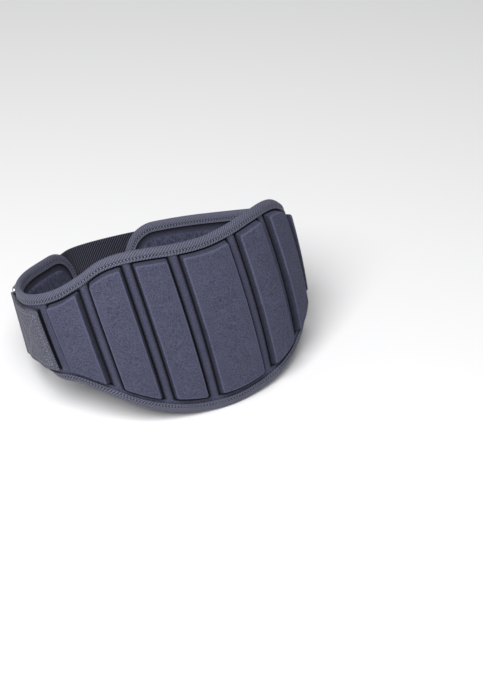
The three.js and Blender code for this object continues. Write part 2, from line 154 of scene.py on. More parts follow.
def bottom_edge(along, inset=0.0):
    return flowing(OUTLINE, "bottom", np.abs(along)) + inset + end_cut(along, inset)


def rim_distance(along, up):
    """Distance from points of the wall to its outline."""
    to_top = flowing(OUTLINE, "top", np.abs(along)) - up
    to_edge = np.minimum(to_top, up - flowing(OUTLINE, "bottom", np.abs(along)))
    for end, rounding in ((BUCKLE_END, BUCKLE_ROUND), (STRAP_END, STRAP_ROUND)):
        from_end = np.abs(end - along)
        round_the_corner = rounding - np.hypot(rounding - from_end, rounding - np.minimum(to_edge, rounding))
        at_end = np.where(to_edge >= rounding, from_end, round_the_corner)
        to_edge = np.where(from_end < rounding, np.minimum(to_edge, at_end), to_edge)
    return to_edge


def squeeze(distance):
    return RIM_SQUEEZE * np.clip(1 - distance / RIM, 0, None)


def rib_ends(foot):
    """Heights of a rib's upper and lower end, where its foot would stand at `foot` on the centre line."""
    top = top_edge(foot - RIB_SLANT * top_edge(foot)) - RIB_TOP_MARGIN
    bottom = bottom_edge(foot - RIB_SLANT * bottom_edge(foot)) + RIB_BOTTOM_MARGIN
    return top, bottom


def rib_width(name):
    return WIDE_RIB_WIDTH if name == "rib_4" else RIB_WIDTH


def foot_distance(along, up):
    """Distance from points of the wall to the nearest rib's foot, or to the tab's sewn end."""
    foot = along + RIB_SLANT * up
    top, bottom = rib_ends(foot)
    away = np.full(len(along), 1.0)
    for name, middle in RIBS.items():
        beside = np.abs(foot - middle) - rib_width(name) / 2
        above = END_CREASE * np.maximum(up - top, bottom - up)
        outside = np.where((beside > 0) & (above > 0), np.hypot(beside, above), np.maximum(beside, above))
        away = np.minimum(away, outside)
    past_tab = along - (TAB_END - TAB_SLANT * (up - TAB_MIDDLE))
    beyond = np.abs(up - TAB_MIDDLE) - TAB_HEIGHT / 2
    from_tab = np.where(past_tab > 0, TAB_CREASE * past_tab, -past_tab / 2)
    from_tab += TAB_CREASE * np.clip(beyond, 0, None)
    return np.minimum(away, np.clip(from_tab, 0, None))


def crease(along, up):
    """How deep the jersey dips round the ribs, under them and at the tab's sewn end."""
    share = np.clip(1 - foot_distance(along, up) / CREASE_WIDTH, 0, 1)
    return CREASE_DEPTH * share * share


def points_of(piece):
    points = np.empty(len(piece.data.vertices) * 3)
    piece.data.vertices.foreach_get("co", points)
    return points.reshape(-1, 3)


def move_points(piece, places):
    piece.data.vertices.foreach_set("co", np.asarray(places, float).ravel())
    piece.data.update()


def only(piece):
    """Selects one object alone and makes it the active one."""
    bpy.ops.object.select_all(action="DESELECT")
    piece.select_set(True)
    bpy.context.view_layer.objects.active = piece


def flat_grid(name, columns, rows):
    """A flat sheet that faces outwards, one metre square, cut into columns and rows."""
    bpy.ops.object.select_all(action="DESELECT")
    bpy.ops.mesh.primitive_grid_add(x_subdivisions=columns, y_subdivisions=rows, size=1,
                                    rotation=(math.pi / 2, 0, 0))
    bpy.ops.object.transform_apply(rotation=True)
    sheet = bpy.context.object
    sheet.name = sheet.data.name = name
    return sheet


def grid_steps(sheet, columns, rows):
    """The column and row that each point of a fresh flat_grid is in."""
    share = points_of(sheet) + 0.5
    return np.rint(share[:, 0] * columns).astype(int), np.rint(share[:, 2] * rows).astype(int)


def apply_modifier(piece, kind, **settings):
    only(piece)
    modifier = piece.modifiers.new(kind.title(), kind)
    for key, value in settings.items():
        setattr(modifier, key, value)
    bpy.ops.object.modifier_apply(modifier=modifier.name)


def note_place(piece, name, places):
    """Keeps a place for every point, which the cloth's pattern then follows."""
    attribute = piece.data.attributes.new(name, "FLOAT_VECTOR", "POINT")
    attribute.data.foreach_set("vector", np.asarray(places, np.float32).ravel())


def bend_round_waist(piece, sharp=40):
    """Bends a flat piece to its place on the belt, and keeps its flat place for its cloth's pattern."""
    points = points_of(piece)
    note_place(piece, "flat_place", points)
    move_points(piece, wrapped(points[:, 0], -points[:, 1], points[:, 2]))
    only(piece)
    bpy.ops.object.shade_smooth_by_angle(angle=math.radians(sharp))


def belongs(piece, slot, *nodes):
    """The piece stands for these nodes of the frame and rides on the belt."""
    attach(piece, BODY)
    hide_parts(*nodes)


def colour(hex_text):
    """An sRGB hex colour as the linear values that a shader takes."""
    shares = [int(hex_text[place:place + 2], 16) / 255 for place in (1, 3, 5)]
    return (*(share / 12.92 if share <= 0.04045 else ((share + 0.055) / 1.055) ** 2.4 for share in shares), 1)


def add_node(tree, kind, inputs=None, **settings):
    """Adds a node with its settings, and links or fills its inputs."""
    node = tree.nodes.new("ShaderNode" + kind)
    for key, value in settings.items():
        setattr(node, key, value)
    for socket, value in (inputs or {}).items():
        if isinstance(value, bpy.types.NodeSocket):
            tree.links.new(value, node.inputs[socket])
        else:
            node.inputs[socket].default_value = value
    return node.outputs


def new_material(name, **settings):
    """A material with those shader settings, given as words in place of spaces, and its node tree."""
    material = bpy.data.materials.new(name)
    material.use_nodes = True
    for key, value in settings.items():
        socket = key.replace("_", " ").title().replace("Ior", "IOR")
        material.node_tree.nodes["Principled BSDF"].inputs[socket].default_value = value
    return material, material.node_tree


def finish_cloth(tree, shade, light, dark, height, depth):
    """Colours a cloth from dark to light by `shade`, and raises it by `height`, `depth` deep."""
    shader = tree.nodes["Principled BSDF"]
    mixed = add_node(tree, "Mix", {0: shade, 6: colour(dark), 7: colour(light)}, data_type="RGBA")
    raised = add_node(tree, "Bump", {"Strength": 1.0, "Distance": depth, "Height": height})
    tree.links.new(mixed[2], shader.inputs["Base Color"])
    tree.links.new(raised["Normal"], shader.inputs["Normal"])


def note_painted_light(piece, painted_light):
    """Keeps how much painted highlight (up to 1) or painted shade (down to -1) the cloth has at every point.
    """
    attribute = piece.data.attributes.new("painted_light", "FLOAT", "POINT")
    attribute.data.foreach_set("value", np.asarray(painted_light, np.float32))


# Neoprene faced with nylon jersey: matt and a little fuzzy, with a fine grain of knitted loops. The loops are
# 0.8 mm apart, and are drawn as a 1.2 mm grain so that they show. Shade is painted on the jersey, near black
# in the creases, on the ribs' sides and in a strip inside the tape, and a painted highlight lightens the
# borders of the ribs' faces.
JERSEY_LIGHT, JERSEY_DARK, JERSEY_PAINTED_SHADE = "#56586F", "#292A38", "#050508"
GRAINS, BLOTCHES = 850.0, 70.0  # to the metre
jersey, tree = new_material("neoprene_jersey", roughness=0.9, sheen_weight=0.08, sheen_roughness=0.5,
                            sheen_tint=colour("#9FA2C4"), specular_ior_level=0.2)
place = add_node(tree, "Attribute", attribute_name="flat_place")["Vector"]
grain = add_node(tree, "TexNoise", {"Vector": place, "Scale": GRAINS, "Detail": 2.0, "Roughness": 0.6})["Fac"]
grain = add_node(tree, "MapRange", {"Value": grain, "From Min": 0.32, "From Max": 0.68})["Result"]
mottle = add_node(tree, "TexNoise", {"Vector": place, "Scale": BLOTCHES, "Detail": 2.0})["Fac"]
shade = add_node(tree, "Mix", {0: 0.25, 2: grain, 3: mottle})[0]
# The attribute holds painted light: above 0 a painted highlight lightens the jersey, below 0 painted shade
# darkens it.
painted_light = add_node(tree, "Attribute", attribute_name="painted_light")["Fac"]
painted_highlight = add_node(tree, "MapRange", {"Value": painted_light, "To Max": 0.3})["Result"]
shade = add_node(tree, "Math", {0: shade, 1: painted_highlight}, operation="ADD")[0]
finish_cloth(tree, shade, JERSEY_LIGHT, JERSEY_DARK, grain, 0.0003)
shader = tree.nodes["Principled BSDF"]
unshaded = shader.inputs["Base Color"].links[0].from_socket
# Painted shade: where the attribute is below 0 the jersey is darkened towards near black; this is the share
# left clear of it.
pressed = add_node(tree, "MapRange", {"Value": painted_light, "From Min": -1.0, "From Max": 0.0})["Result"]
darkened = add_node(tree, "Mix", {0: pressed, 6: colour(JERSEY_PAINTED_SHADE), 7: unshaded}, data_type="RGBA")
tree.links.new(darkened[2], shader.inputs["Base Color"])

END_COLUMNS = 12
EDGE_ROWS_SHARE = 0.9  # the rows near the edges take up at most so much of a column
RIBBED_REACH, RIBBED_FADE = 0.245, 0.05


def steps_between(start, end, step):
    return np.linspace(start, end, max(2, int(math.ceil(abs(end - start) / step)) + 1))


def wall_columns(inset, step):
    """Places of a sheet's columns along the belt: close together round the ends, even between them."""
    turn = np.linspace(0, math.pi / 2, END_COLUMNS + 1)[:-1]
    buckle = BUCKLE_END + inset + (BUCKLE_ROUND - inset) * (1 - np.cos(turn))
    strap = STRAP_END - inset - (STRAP_ROUND - inset) * (1 - np.cos(turn))
    middle = steps_between(BUCKLE_END + BUCKLE_ROUND, STRAP_END - STRAP_ROUND, step)
    return np.concatenate([buckle, middle, strap[::-1]])


def slant_at(foot):
    """Slant of the wall's mesh columns: the ribs' own over the back, none in the wings."""
    share = np.clip((RIBBED_REACH - np.abs(foot - RIBS["rib_4"])) / RIBBED_FADE, 0, 1)
    return RIB_SLANT * share * share * (3 - 2 * share)


def fill_heights(bottom, top, low_steps, high_steps, middle_rows):
    """Heights of a sheet's rows in each column: at set distances from its edges, and even between them."""
    room = np.minimum(1, EDGE_ROWS_SHARE * (top - bottom) / (low_steps[-1] + high_steps[-1]))
    low = [bottom + room * step for step in low_steps]
    high = [top - room * step for step in high_steps]
    between = [low[-1] + (high[-1] - low[-1]) * share for share in np.linspace(0, 1, middle_rows + 1)[1:-1]]
    return np.array(low + between + high[::-1])


BESIDE_RIB = (-0.001, 0, 0.0006, 0.0014, 0.0024, 0.0036, 0.0055)  # where columns stand, from a rib's side
BESIDE_TAB = (-0.004, -0.0015, 0, 0.0008, 0.0016, 0.0026, 0.0040)  # and from the tab's end
LOW_ROWS = [0, 0.004, 0.008, 0.0105, 0.012, 0.013, 0.014, 0.015, 0.016, 0.018]
HIGH_ROWS = [0, 0.004, 0.0075, 0.0085, 0.0095, 0.0105, 0.0115, 0.0125, 0.014]
MIDDLE_ROWS = 26
COLUMN_STEP, COLUMN_GAP = 0.004, 0.0012
rib_sides = [middle + side * (rib_width(name) / 2 + away)
             for name, middle in RIBS.items() for side in (-1, 1) for away in BESIDE_RIB]
rib_sides += [TAB_END + away for away in BESIDE_TAB]
feet = wall_columns(0.0, COLUMN_STEP)
feet = np.array([foot for foot in feet if min(abs(foot - np.array(rib_sides))) > COLUMN_GAP])
feet = np.sort(np.concatenate([feet, rib_sides]))
tops, bottoms = top_edge(feet), bottom_edge(feet)
for _ in range(6):  # the columns slant, so the heights of their ends are found in a few rounds
    tops = top_edge(feet - slant_at(feet) * tops)
    bottoms = bottom_edge(feet - slant_at(feet) * bottoms)
heights = fill_heights(bottoms, tops, LOW_ROWS, HIGH_ROWS, MIDDLE_ROWS)
body = flat_grid("foam_wall", len(feet) - 1, len(heights) - 1)
column, row = grid_steps(body, len(feet) - 1, len(heights) - 1)
up = heights[row, column]
along = feet[column] - slant_at(feet[column]) * up
move_points(body, np.stack([along, np.zeros(len(up)), up], axis=1))
apply_modifier(body, "SOLIDIFY", thickness=WALL, offset=-1)
points = points_of(body)
pressed = squeeze(rim_distance(points[:, 0], points[:, 2]))
outer = points[:, 1] < WALL / 2
# Shade is painted on the wall: near black in the crease round each rib and at the tab's sewn end on the outer
# face, and in a strip beside the tape on the inner face.
from_foot = foot_distance(points[:, 0], points[:, 2]) / SHADE_WIDTH
near_foot = np.clip(SHADE_STRENGTH * (1 - from_foot), 0, 1) ** SHADE_FADE
beside_tape = np.clip((RIM + STRIP_OVERLAP - rim_distance(points[:, 0], points[:, 2])) / RIM, 0, 1)
note_painted_light(body, -np.where(outer, near_foot, np.clip(STRIP_STRENGTH * beside_tape, 0, STRIP_DARKEST)))
dip = pressed + crease(points[:, 0], points[:, 2])
points[:, 1] += np.where(outer, dip, -pressed)
move_points(body, points)
bend_round_waist(body)
body.data.materials.append(jersey)
belongs(body, "neoprene", "belt_body")

# Ribs. Seven foam bars stand 7.5 mm off the back under the same jersey, pressed so that their edges are
# bevelled and their faces a little crowned. They lean, their lower ends towards the strap side.
RIB_HEIGHT = 0.0075
RIB_SUNK = 0.0012
RIB_BEVEL = 0.0012
RIB_CORNER = 0.0026
RIB_CROWN = 0.0005
RIB_SIDE_SLOPES = {"buckle": 0.0010, "strap": 0.0028, "ends": 0.0022}  # how far each side leans in
RIB_COLUMN, RIB_ROW = 0.0045, 0.006
# the narrow border of each rib's face, which is painted lighter as a highlight
HIGHLIGHT_BORDER = 0.0010
SIDE_SHADE, END_SHADE, SHADE_LOST = -0.75, -0.35, 0.6  # painted shade at the foot of the sides and ends, and the share of it that is lost on the way up


def select_edges(piece, chosen):
    """Selects, in edit mode, the edges whose two ends are both chosen."""
    bpy.ops.mesh.select_all(action="DESELECT")
    bpy.ops.mesh.select_mode(type="EDGE")
    bpy.ops.object.mode_set(mode="OBJECT")
    for edge in piece.data.edges:
        edge.select = all(chosen(piece.data.vertices[end].co) for end in edge.vertices)
    bpy.ops.object.mode_set(mode="EDIT")


def near(value, target):
    return abs(value - target) < 1e-5


def foam_bar(name, half_width, half_height, face):
    """An upright bar with rounded corners, whose face is bevelled all round and has a narrow border."""
    def at_corner(point):
        return near(abs(point.x), half_width) and near(abs(point.z), half_height)

    def on_outline(point):
        at_side = near(abs(point.x), half_width) or near(abs(point.z), half_height)
        in_corner = abs(point.x) > half_width - RIB_CORNER and abs(point.z) > half_height - RIB_CORNER
        return at_side or in_corner

    bar = flat_grid(name, int(2 * half_width / RIB_COLUMN), int(2 * half_height / RIB_ROW))
    only(bar)
    bpy.ops.object.mode_set(mode="EDIT")
    bpy.ops.mesh.select_all(action="SELECT")
    bpy.ops.transform.resize(value=(2 * half_width, 1, 2 * half_height))
    bpy.ops.mesh.extrude_region_move(TRANSFORM_OT_translate={"value": (0, -face, 0)})
    select_edges(bar, at_corner)
    bpy.ops.mesh.bevel(offset=RIB_CORNER, segments=4, profile=0.5)
    select_edges(bar, lambda point: near(point.y, -face) and on_outline(point))
    bpy.ops.mesh.bevel(offset=RIB_BEVEL, segments=3, profile=0.5)
    bpy.ops.mesh.select_all(action="DESELECT")
    bpy.ops.mesh.select_mode(type="FACE")
    bpy.ops.object.mode_set(mode="OBJECT")
    for polygon in bar.data.polygons:
        polygon.select = near(polygon.center.y, -face)
    bpy.ops.object.mode_set(mode="EDIT")
    bpy.ops.mesh.inset(thickness=HIGHLIGHT_BORDER, depth=0, use_boundary=True)
    bpy.ops.mesh.select_all(action="SELECT")
    bpy.ops.mesh.normals_make_consistent(inside=False)
    bpy.ops.object.mode_set(mode="OBJECT")
    return bar


for name, middle in RIBS.items():
    end_heights = rib_ends(np.array([middle]))
    height = float(end_heights[0][0] - end_heights[1][0])
    half_width, half_height = rib_width(name) / 2, height / 2
    face = RIB_HEIGHT + RIB_SUNK
    rib = foam_bar(name + "_pad", half_width, half_height, face)
    points = points_of(rib)
    inward = np.minimum(half_width - np.abs(points[:, 0]), half_height - np.abs(points[:, 2]))
    on_face = -points[:, 1] > face - RIB_BEVEL / 2
    at_edge = on_face & (inward < RIB_BEVEL + HIGHLIGHT_BORDER / 2)
    at_end = half_height - np.abs(points[:, 2]) < half_width - np.abs(points[:, 0])
    raised = -points[:, 1] / face
    # The face's border gets a painted highlight, and the sides and ends get painted shade, darkest at the
    # foot.
    side_shade = np.where(at_end, END_SHADE, SIDE_SHADE) * (1 - SHADE_LOST * raised)
    note_painted_light(rib, np.where(at_edge, 1.0, np.where(on_face, 0.0, side_shade)))
    foot = middle + points[:, 0]
    share = points[:, 2] / height + 0.5
    top, bottom = rib_ends(foot)
    up = points[:, 2] + (bottom + half_height) * (1 - share) + (top - half_height) * share
    crowned = RIB_CROWN * (points[:, 0] / half_width) ** 2 * (raised > 0.5)
    lean_in = np.where(points[:, 0] < 0, RIB_SIDE_SLOPES["buckle"], RIB_SIDE_SLOPES["strap"])
    foot = foot - lean_in * raised * points[:, 0] / half_width
    up = up - RIB_SIDE_SLOPES["ends"] * raised * (2 * share - 1)
    move_points(rib, np.stack([foot - RIB_SLANT * up, points[:, 1] + RIB_SUNK + crowned, up], axis=1))
    bend_round_waist(rib)
    rib.data.materials.append(jersey)
    belongs(rib, "neoprene", name)

# Lining panel. Looped knit, 2.6 mm thick, lies against the inside of the wall and stops 18 mm short of its
# edge, where its pile rounds over.
LINING = 0.0026
LINING_LIFT, LINING_SINK = 0.0006, 0.0005  # off the wall, and how far its back is pressed down again
LINING_ROWS = [0, 0.0006, 0.0015, 0.0027, 0.004, 0.006, 0.010]
LINING_MIDDLE_ROWS, LINING_STEP = 22, 0.005
LINING_ROUNDING, LINING_CLOSED = 0.003, 0.8  # width of the rounded edge, and the share that it closes

places = wall_columns(RIM, LINING_STEP)
lows, highs = bottom_edge(places, RIM), top_edge(places, RIM)
heights = fill_heights(lows, highs, LINING_ROWS, LINING_ROWS, LINING_MIDDLE_ROWS)
lining = flat_grid("looped_lining", len(places) - 1, len(heights) - 1)
column, row = grid_steps(lining, len(places) - 1, len(heights) - 1)
inner_face = np.full(len(column), WALL + LINING_LIFT)
move_points(lining, np.stack([places[column], inner_face, heights[row, column]], axis=1))
apply_modifier(lining, "SOLIDIFY", thickness=LINING, offset=-1)
points = points_of(lining)
inside = np.clip(rim_distance(points[:, 0], points[:, 2]) - RIM, 0, LINING_ROUNDING) / LINING_ROUNDING
pressed = LINING_CLOSED * LINING * (1 - np.sqrt(1 - (1 - inside) ** 2))
points[:, 1] -= np.where(points[:, 1] > WALL + LINING_LIFT + LINING / 2, pressed, LINING_SINK)
move_points(lining, points)
bend_round_waist(lining, sharp=60)

# Looped knit: thick, soft and dull, its loops in upright columns. The columns are 1.3 mm apart, and are drawn
# twice as coarse so that they show.
LOOPS, LINING_BLOTCHES = (400.0, 400.0, 260.0), 90.0  # to the metre
looped, tree = new_material("looped_knit", roughness=1.0, sheen_weight=0.12, sheen_roughness=0.6,
                            sheen_tint=colour("#9CA0C8"), specular_ior_level=0.1)
place = add_node(tree, "Attribute", attribute_name="flat_place")["Vector"]
place_in_loops = add_node(tree, "Mapping", {"Vector": place, "Scale": LOOPS})["Vector"]
loops = add_node(tree, "TexNoise", {"Vector": place_in_loops, "Scale": 1.0, "Detail": 2.0,
                                    "Roughness": 0.6})["Fac"]
loops = add_node(tree, "MapRange", {"Value": loops, "From Min": 0.3, "From Max": 0.7})["Result"]
mottle = add_node(tree, "TexNoise", {"Vector": place, "Scale": LINING_BLOTCHES, "Detail": 2.0})["Fac"]
shade = add_node(tree, "Mix", {0: 0.35, 2: loops, 3: mottle})[0]
finish_cloth(tree, shade, "#4D5065", "#1C1E28", loops, 0.0007)
lining.data.materials.append(looped)
belongs(lining, "looped_lining", "inner_lining")

# Edge tape. Twill tape is folded over the whole edge of the wall, 9.5 mm deep on either face, and sewn
# through with one row of stitches, which presses a groove into it.
TAPE, TAPE_GAP = 0.0012, 0.0005
TAPE_WIDTH = 0.0095
TAPE_REACH = 0.0017
TAPE_STEP = 0.003
FOLD_DEPTH = 0.0035
SEAM_INWARD = 0.0062
SEAM_DIP, SEAM_SPREAD = 0.0005, 0.0010
FLANK_POINTS, FOLD_STEPS, END_STEPS = 16, 12, 16


def edge_stations(step):
    """Points once round the outline, each with its way in from the edge and its distance round."""
    turn = np.linspace(0, math.pi / 2, END_STEPS + 1)
    quarters = []
    for end, rounding, towards in ((BUCKLE_END, BUCKLE_ROUND, 1), (STRAP_END, STRAP_ROUND, -1)):
        quarters.append((end + towards * rounding * (1 - np.cos(turn)), towards * np.cos(turn), np.sin(turn)))
    span = steps_between(BUCKLE_END + BUCKLE_ROUND, STRAP_END - STRAP_ROUND, step)[1:-1]
    along = np.concatenate([quarters[0][0], span, quarters[1][0][::-1]])
    in_along = np.concatenate([quarters[0][1], np.zeros(len(span)), quarters[1][1][::-1]])
    in_up = np.concatenate([quarters[0][2], np.ones(len(span)), quarters[1][2][::-1]])
    upper = np.stack([along, top_edge(along), in_along, -in_up], axis=1)
    lower = np.stack([along, bottom_edge(along), in_along, in_up], axis=1)
    loop = np.concatenate([upper, lower[::-1], upper[:1]])
    steps = np.hypot(*np.diff(loop[:, :2], axis=0).T)
    return loop, np.concatenate([[0], np.cumsum(steps)])


def tape_section():
    """The tape's face, from its free edge on the outside, round the fold, to its free edge on the inside."""
    flank = np.linspace(TAPE_WIDTH, FOLD_DEPTH, FLANK_POINTS)
    groove = SEAM_DIP * np.exp(-((flank - SEAM_INWARD) / SEAM_SPREAD) ** 2)
    lift = TAPE_GAP + TAPE - groove - squeeze(flank)
    turn = np.linspace(0, math.pi, FOLD_STEPS + 1)[1:-1]
    middle, half = -WALL / 2, lift[-1] + WALL / 2
    outer = np.stack([flank, lift], axis=1)
    reach = (FOLD_DEPTH + TAPE_REACH) * np.sin(turn)
    fold = np.stack([FOLD_DEPTH - reach, middle + half * np.cos(turn)], axis=1)
    inner = np.stack([flank[::-1], -WALL - lift[::-1]], axis=1)
    return np.concatenate([outer, fold, inner])


loop, round_distance = edge_stations(TAPE_STEP)
section = tape_section()
across_distance = np.concatenate([[0], np.cumsum(np.hypot(*np.diff(section, axis=0).T))])
tape = flat_grid("edge_tape", len(loop) - 1, len(section) - 1)
column, row = grid_steps(tape, len(loop) - 1, len(section) - 1)
edge_along, edge_up, in_along, in_up = loop[column].T
inward, out = section[row].T
flat = np.stack([edge_along + in_along * inward, -out, edge_up + in_up * inward], axis=1)
tape_uv = np.stack([round_distance[column], across_distance[row]], axis=1)
corner = np.empty(len(tape.data.loops), int)
tape.data.loops.foreach_get("vertex_index", corner)
tape.data.uv_layers[0].data.foreach_set("uv", tape_uv[corner].ravel())
move_points(tape, flat)
only(tape)
bpy.ops.object.mode_set(mode="EDIT")
bpy.ops.mesh.select_all(action="SELECT")
bpy.ops.mesh.remove_doubles(threshold=0.00002)
bpy.ops.mesh.normals_make_consistent(inside=False)
bpy.ops.object.mode_set(mode="OBJECT")
apply_modifier(tape, "SOLIDIFY", thickness=TAPE, offset=-1)
bend_round_waist(tape, sharp=60)

# Polyester twill tape: a slight sheen on diagonal ribs, crossed by finer yarns, with shade painted dark in
# the groove where it is sewn. The ribs are 2 mm apart, and are drawn 2.5 mm apart so that they show.
TAPE_RIB, TAPE_YARN = 0.0035, 0.0017
# how far from the seam the painted shade of its groove starts and stops fading
GROOVE_FROM, GROOVE_TO = 0.0004, 0.0014
TAPE_WEAR = 300.0  # worn spots to the metre


def ridges(tree, place, across):
    """Rows of ridges, 0 in the grooves and 1 on top: `across` is how many pass per metre along each axis."""
    turning = [2 * math.pi * count for count in across]
    turns = add_node(tree, "VectorMath", {0: place, 1: turning}, operation="DOT_PRODUCT")["Value"]
    wave = add_node(tree, "Math", {0: turns}, operation="SINE")[0]
    return add_node(tree, "MapRange", {"Value": wave, "From Min": -1.0})["Result"]


twill, tree = new_material("polyester_twill_tape", roughness=0.65, sheen_weight=0.12, sheen_roughness=0.4,
                           sheen_tint=colour("#A9ABC6"), specular_ior_level=0.3)
place = add_node(tree, "UVMap", uv_map=tape.data.uv_layers[0].name)["UV"]
ribs = ridges(tree, place, (1 / TAPE_RIB, -1 / TAPE_RIB, 0))
yarns = ridges(tree, place, (1 / TAPE_YARN, 1 / TAPE_YARN, 0))
height = add_node(tree, "Mix", {0: 0.25, 2: ribs, 3: yarns})[0]
wear = add_node(tree, "TexNoise", {"Vector": place, "Scale": TAPE_WEAR, "Detail": 3.0})["Fac"]
shade = add_node(tree, "Mix", {0: 0.35, 2: height, 3: wear})[0]
# Painted shade: the tape is darkened along the seam's groove.
tape_middle = float(across_distance[-1] / 2)
seam_across = np.interp(-SEAM_INWARD, -section[:FLANK_POINTS, 0], across_distance[:FLANK_POINTS])
seam_from_middle = float(tape_middle - seam_across)
across = add_node(tree, "SeparateXYZ", {"Vector": place})["Y"]
from_middle = add_node(tree, "Math", {0: across, 1: tape_middle}, operation="SUBTRACT")[0]
from_middle = add_node(tree, "Math", {0: from_middle}, operation="ABSOLUTE")[0]
from_seam = add_node(tree, "Math", {0: from_middle, 1: seam_from_middle}, operation="SUBTRACT")[0]
from_seam = add_node(tree, "Math", {0: from_seam}, operation="ABSOLUTE")[0]
groove = {"Value": from_seam, "From Min": GROOVE_FROM, "From Max": GROOVE_TO}
clear_of_seam_shade = add_node(tree, "MapRange", groove)["Result"]
shade = add_node(tree, "Math", {0: shade, 1: clear_of_seam_shade}, operation="MULTIPLY")[0]
finish_cloth(tree, shade, "#707288", "#14151E", height, 0.0005)
tape.data.materials.append(twill)
belongs(tape, "twill_tape", "edge_binding")

# Stitching. Bonded polyester thread, lockstitched: each stitch is a short plump length that dips into the
# cloth at both ends and lies a little askew to its row. The tape has one row on either face of the wall.
STITCH_PITCH = 0.0038
STITCH_LENGTH, STITCH_WIDTH, STITCH_HEIGHT = 0.0027, 0.0009, 0.0007
STITCH_SKEW = math.radians(9)
THREAD_TWIST = 700  # turns of the yarns to the metre, along and up
thread, tree = new_material("polyester_thread", roughness=0.5, specular_ior_level=0.4)
place = add_node(tree, "Attribute", attribute_name="flat_place")["Vector"]
twist = ridges(tree, place, (THREAD_TWIST, 0, THREAD_TWIST))
finish_cloth(tree, twist, "#8E90A4", "#6A6C80", twist, 0.0001)


def sew(name, places, ways, facing):
    """Stitches of one seam: a stitch is modelled once, and a copy is laid at every place, along its way."""
    bpy.ops.object.select_all(action="DESELECT")
    bpy.ops.mesh.primitive_uv_sphere_add(segments=8, ring_count=6, radius=0.5)
    row = bpy.context.object
    row.name = row.data.name = name
    shape = points_of(row) * (STITCH_LENGTH, STITCH_WIDTH, STITCH_HEIGHT)
    faces = [np.array(polygon.vertices) for polygon in row.data.polygons]
    outwards = np.array([0.0, facing, 0.0])
    ways = ways / np.linalg.norm(ways, axis=1)[:, None]
    beside = np.cross(outwards, ways)
    long_way = ways * math.cos(STITCH_SKEW) + beside * math.sin(STITCH_SKEW)
    short_way = beside * math.cos(STITCH_SKEW) - ways * math.sin(STITCH_SKEW)
    laid = places[:, None] + shape[:, 0:1] * long_way[:, None] + shape[:, 1:2] * short_way[:, None]
    laid = (laid + shape[:, 2:3] * outwards).reshape(-1, 3)
    mesh = bpy.data.meshes.new(name)
    first_points = range(0, len(laid), len(shape))
    mesh.from_pydata(laid, [], [list(face + first) for first in first_points for face in faces])
    row.data = mesh
    note_place(row, "flat_place", laid)
    move_points(row, wrapped(laid[:, 0], -laid[:, 1], laid[:, 2]))
    only(row)
    bpy.ops.object.shade_smooth()
    mesh.materials.append(thread)
    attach(row, BODY)


def evenly(points, pitch):
    """Places at even steps along a line of points, and the way the line runs at each."""
    distance = np.concatenate([[0], np.cumsum(np.linalg.norm(np.diff(points, axis=0), axis=1))])
    count = int(distance[-1] / pitch)
    at = (np.arange(count) + 0.5) * distance[-1] / count
    behind, places, ahead = (
        np.stack([np.interp(at + shift, distance, points[:, axis]) for axis in range(3)], axis=1)
        for shift in (-pitch / 4, 0, pitch / 4))
    return places, ahead - behind


edge_along, edge_up, in_along, in_up = loop.T
seam_along, seam_up = edge_along + in_along * SEAM_INWARD, edge_up + in_up * SEAM_INWARD
seam_lift = TAPE_GAP + TAPE - SEAM_DIP - float(squeeze(np.array(SEAM_INWARD)))
for side, out, facing in (("outer", seam_lift, -1.0), ("inner", -WALL - seam_lift, 1.0)):
    line = np.stack([seam_along, np.full(len(loop), -out), seam_up], axis=1)
    places, ways = evenly(line, STITCH_PITCH)
    sew("tape_stitching_" + side, places, ways, facing)

# Buckle ring. A ring of plated steel wire, bent to a rectangle with small corner bends, lies flat through the
# tab on one side and the strap on the other.
WIRE = 0.0024  # half the wire's thickness
FREE_BAR, TAB_BAR = -0.334, -0.2875
RING_MIDDLE, RING_HEIGHT, RING_CORNER = 0.015, 0.084, 0.003
CLOTH_GAP = 0.0003
TAB_WEBBING, STRAP_WEBBING = 0.0018, 0.002
STRAP_LIFT = 0.0016
tab_level = CLOTH_GAP + TAB_WEBBING / 2
tab_radius = WIRE + CLOTH_GAP + TAB_WEBBING / 2
tab_axis = tab_level + tab_radius
strap_level = STRAP_LIFT + STRAP_WEBBING / 2
strap_radius = WIRE + CLOTH_GAP + STRAP_WEBBING / 2
strap_axis = strap_level + strap_radius

half = RING_HEIGHT / 2 - WIRE
free, held, free_top, held_top = wrapped(
    np.array([FREE_BAR, TAB_BAR, FREE_BAR, TAB_BAR]), np.array([strap_axis, tab_axis, strap_axis, tab_axis]),
    np.array([RING_MIDDLE, RING_MIDDLE, RING_MIDDLE + half, RING_MIDDLE + half]))
ring_width = float(np.linalg.norm(held - free))
across = Vector(held - free).normalized()
upwards = (Vector(free_top - free) + Vector(held_top - held)).normalized()
bpy.ops.object.select_all(action="DESELECT")
bpy.ops.mesh.primitive_plane_add(size=1)
ring = bpy.context.object
ring.name = "wire_ring"
bpy.ops.object.mode_set(mode="EDIT")
bpy.ops.mesh.select_all(action="SELECT")
bpy.ops.transform.resize(value=(ring_width, 2 * half, 1))
bpy.ops.mesh.bevel(offset=RING_CORNER, offset_type="OFFSET", segments=8, profile=0.5, affect="VERTICES")
bpy.ops.mesh.delete(type="ONLY_FACE")
bpy.ops.object.mode_set(mode="OBJECT")
bpy.ops.object.convert(target="CURVE")
ring.data.bevel_depth = WIRE
ring.data.bevel_resolution = 5
bpy.ops.object.convert(target="MESH")
ring = bpy.context.object
ring.data.name = "wire_ring"
middle = Vector(free + held) / 2
turn = Matrix((across, upwards, across.cross(upwards))).transposed().to_4x4()
ring.data.transform(Matrix.Translation(middle) @ turn)
only(ring)
bpy.ops.object.mode_set(mode="EDIT")
bpy.ops.mesh.select_all(action="SELECT")
bpy.ops.mesh.remove_doubles(threshold=0.00001)
bpy.ops.mesh.normals_make_consistent(inside=False)
bpy.ops.object.mode_set(mode="OBJECT")
bpy.ops.object.shade_smooth()

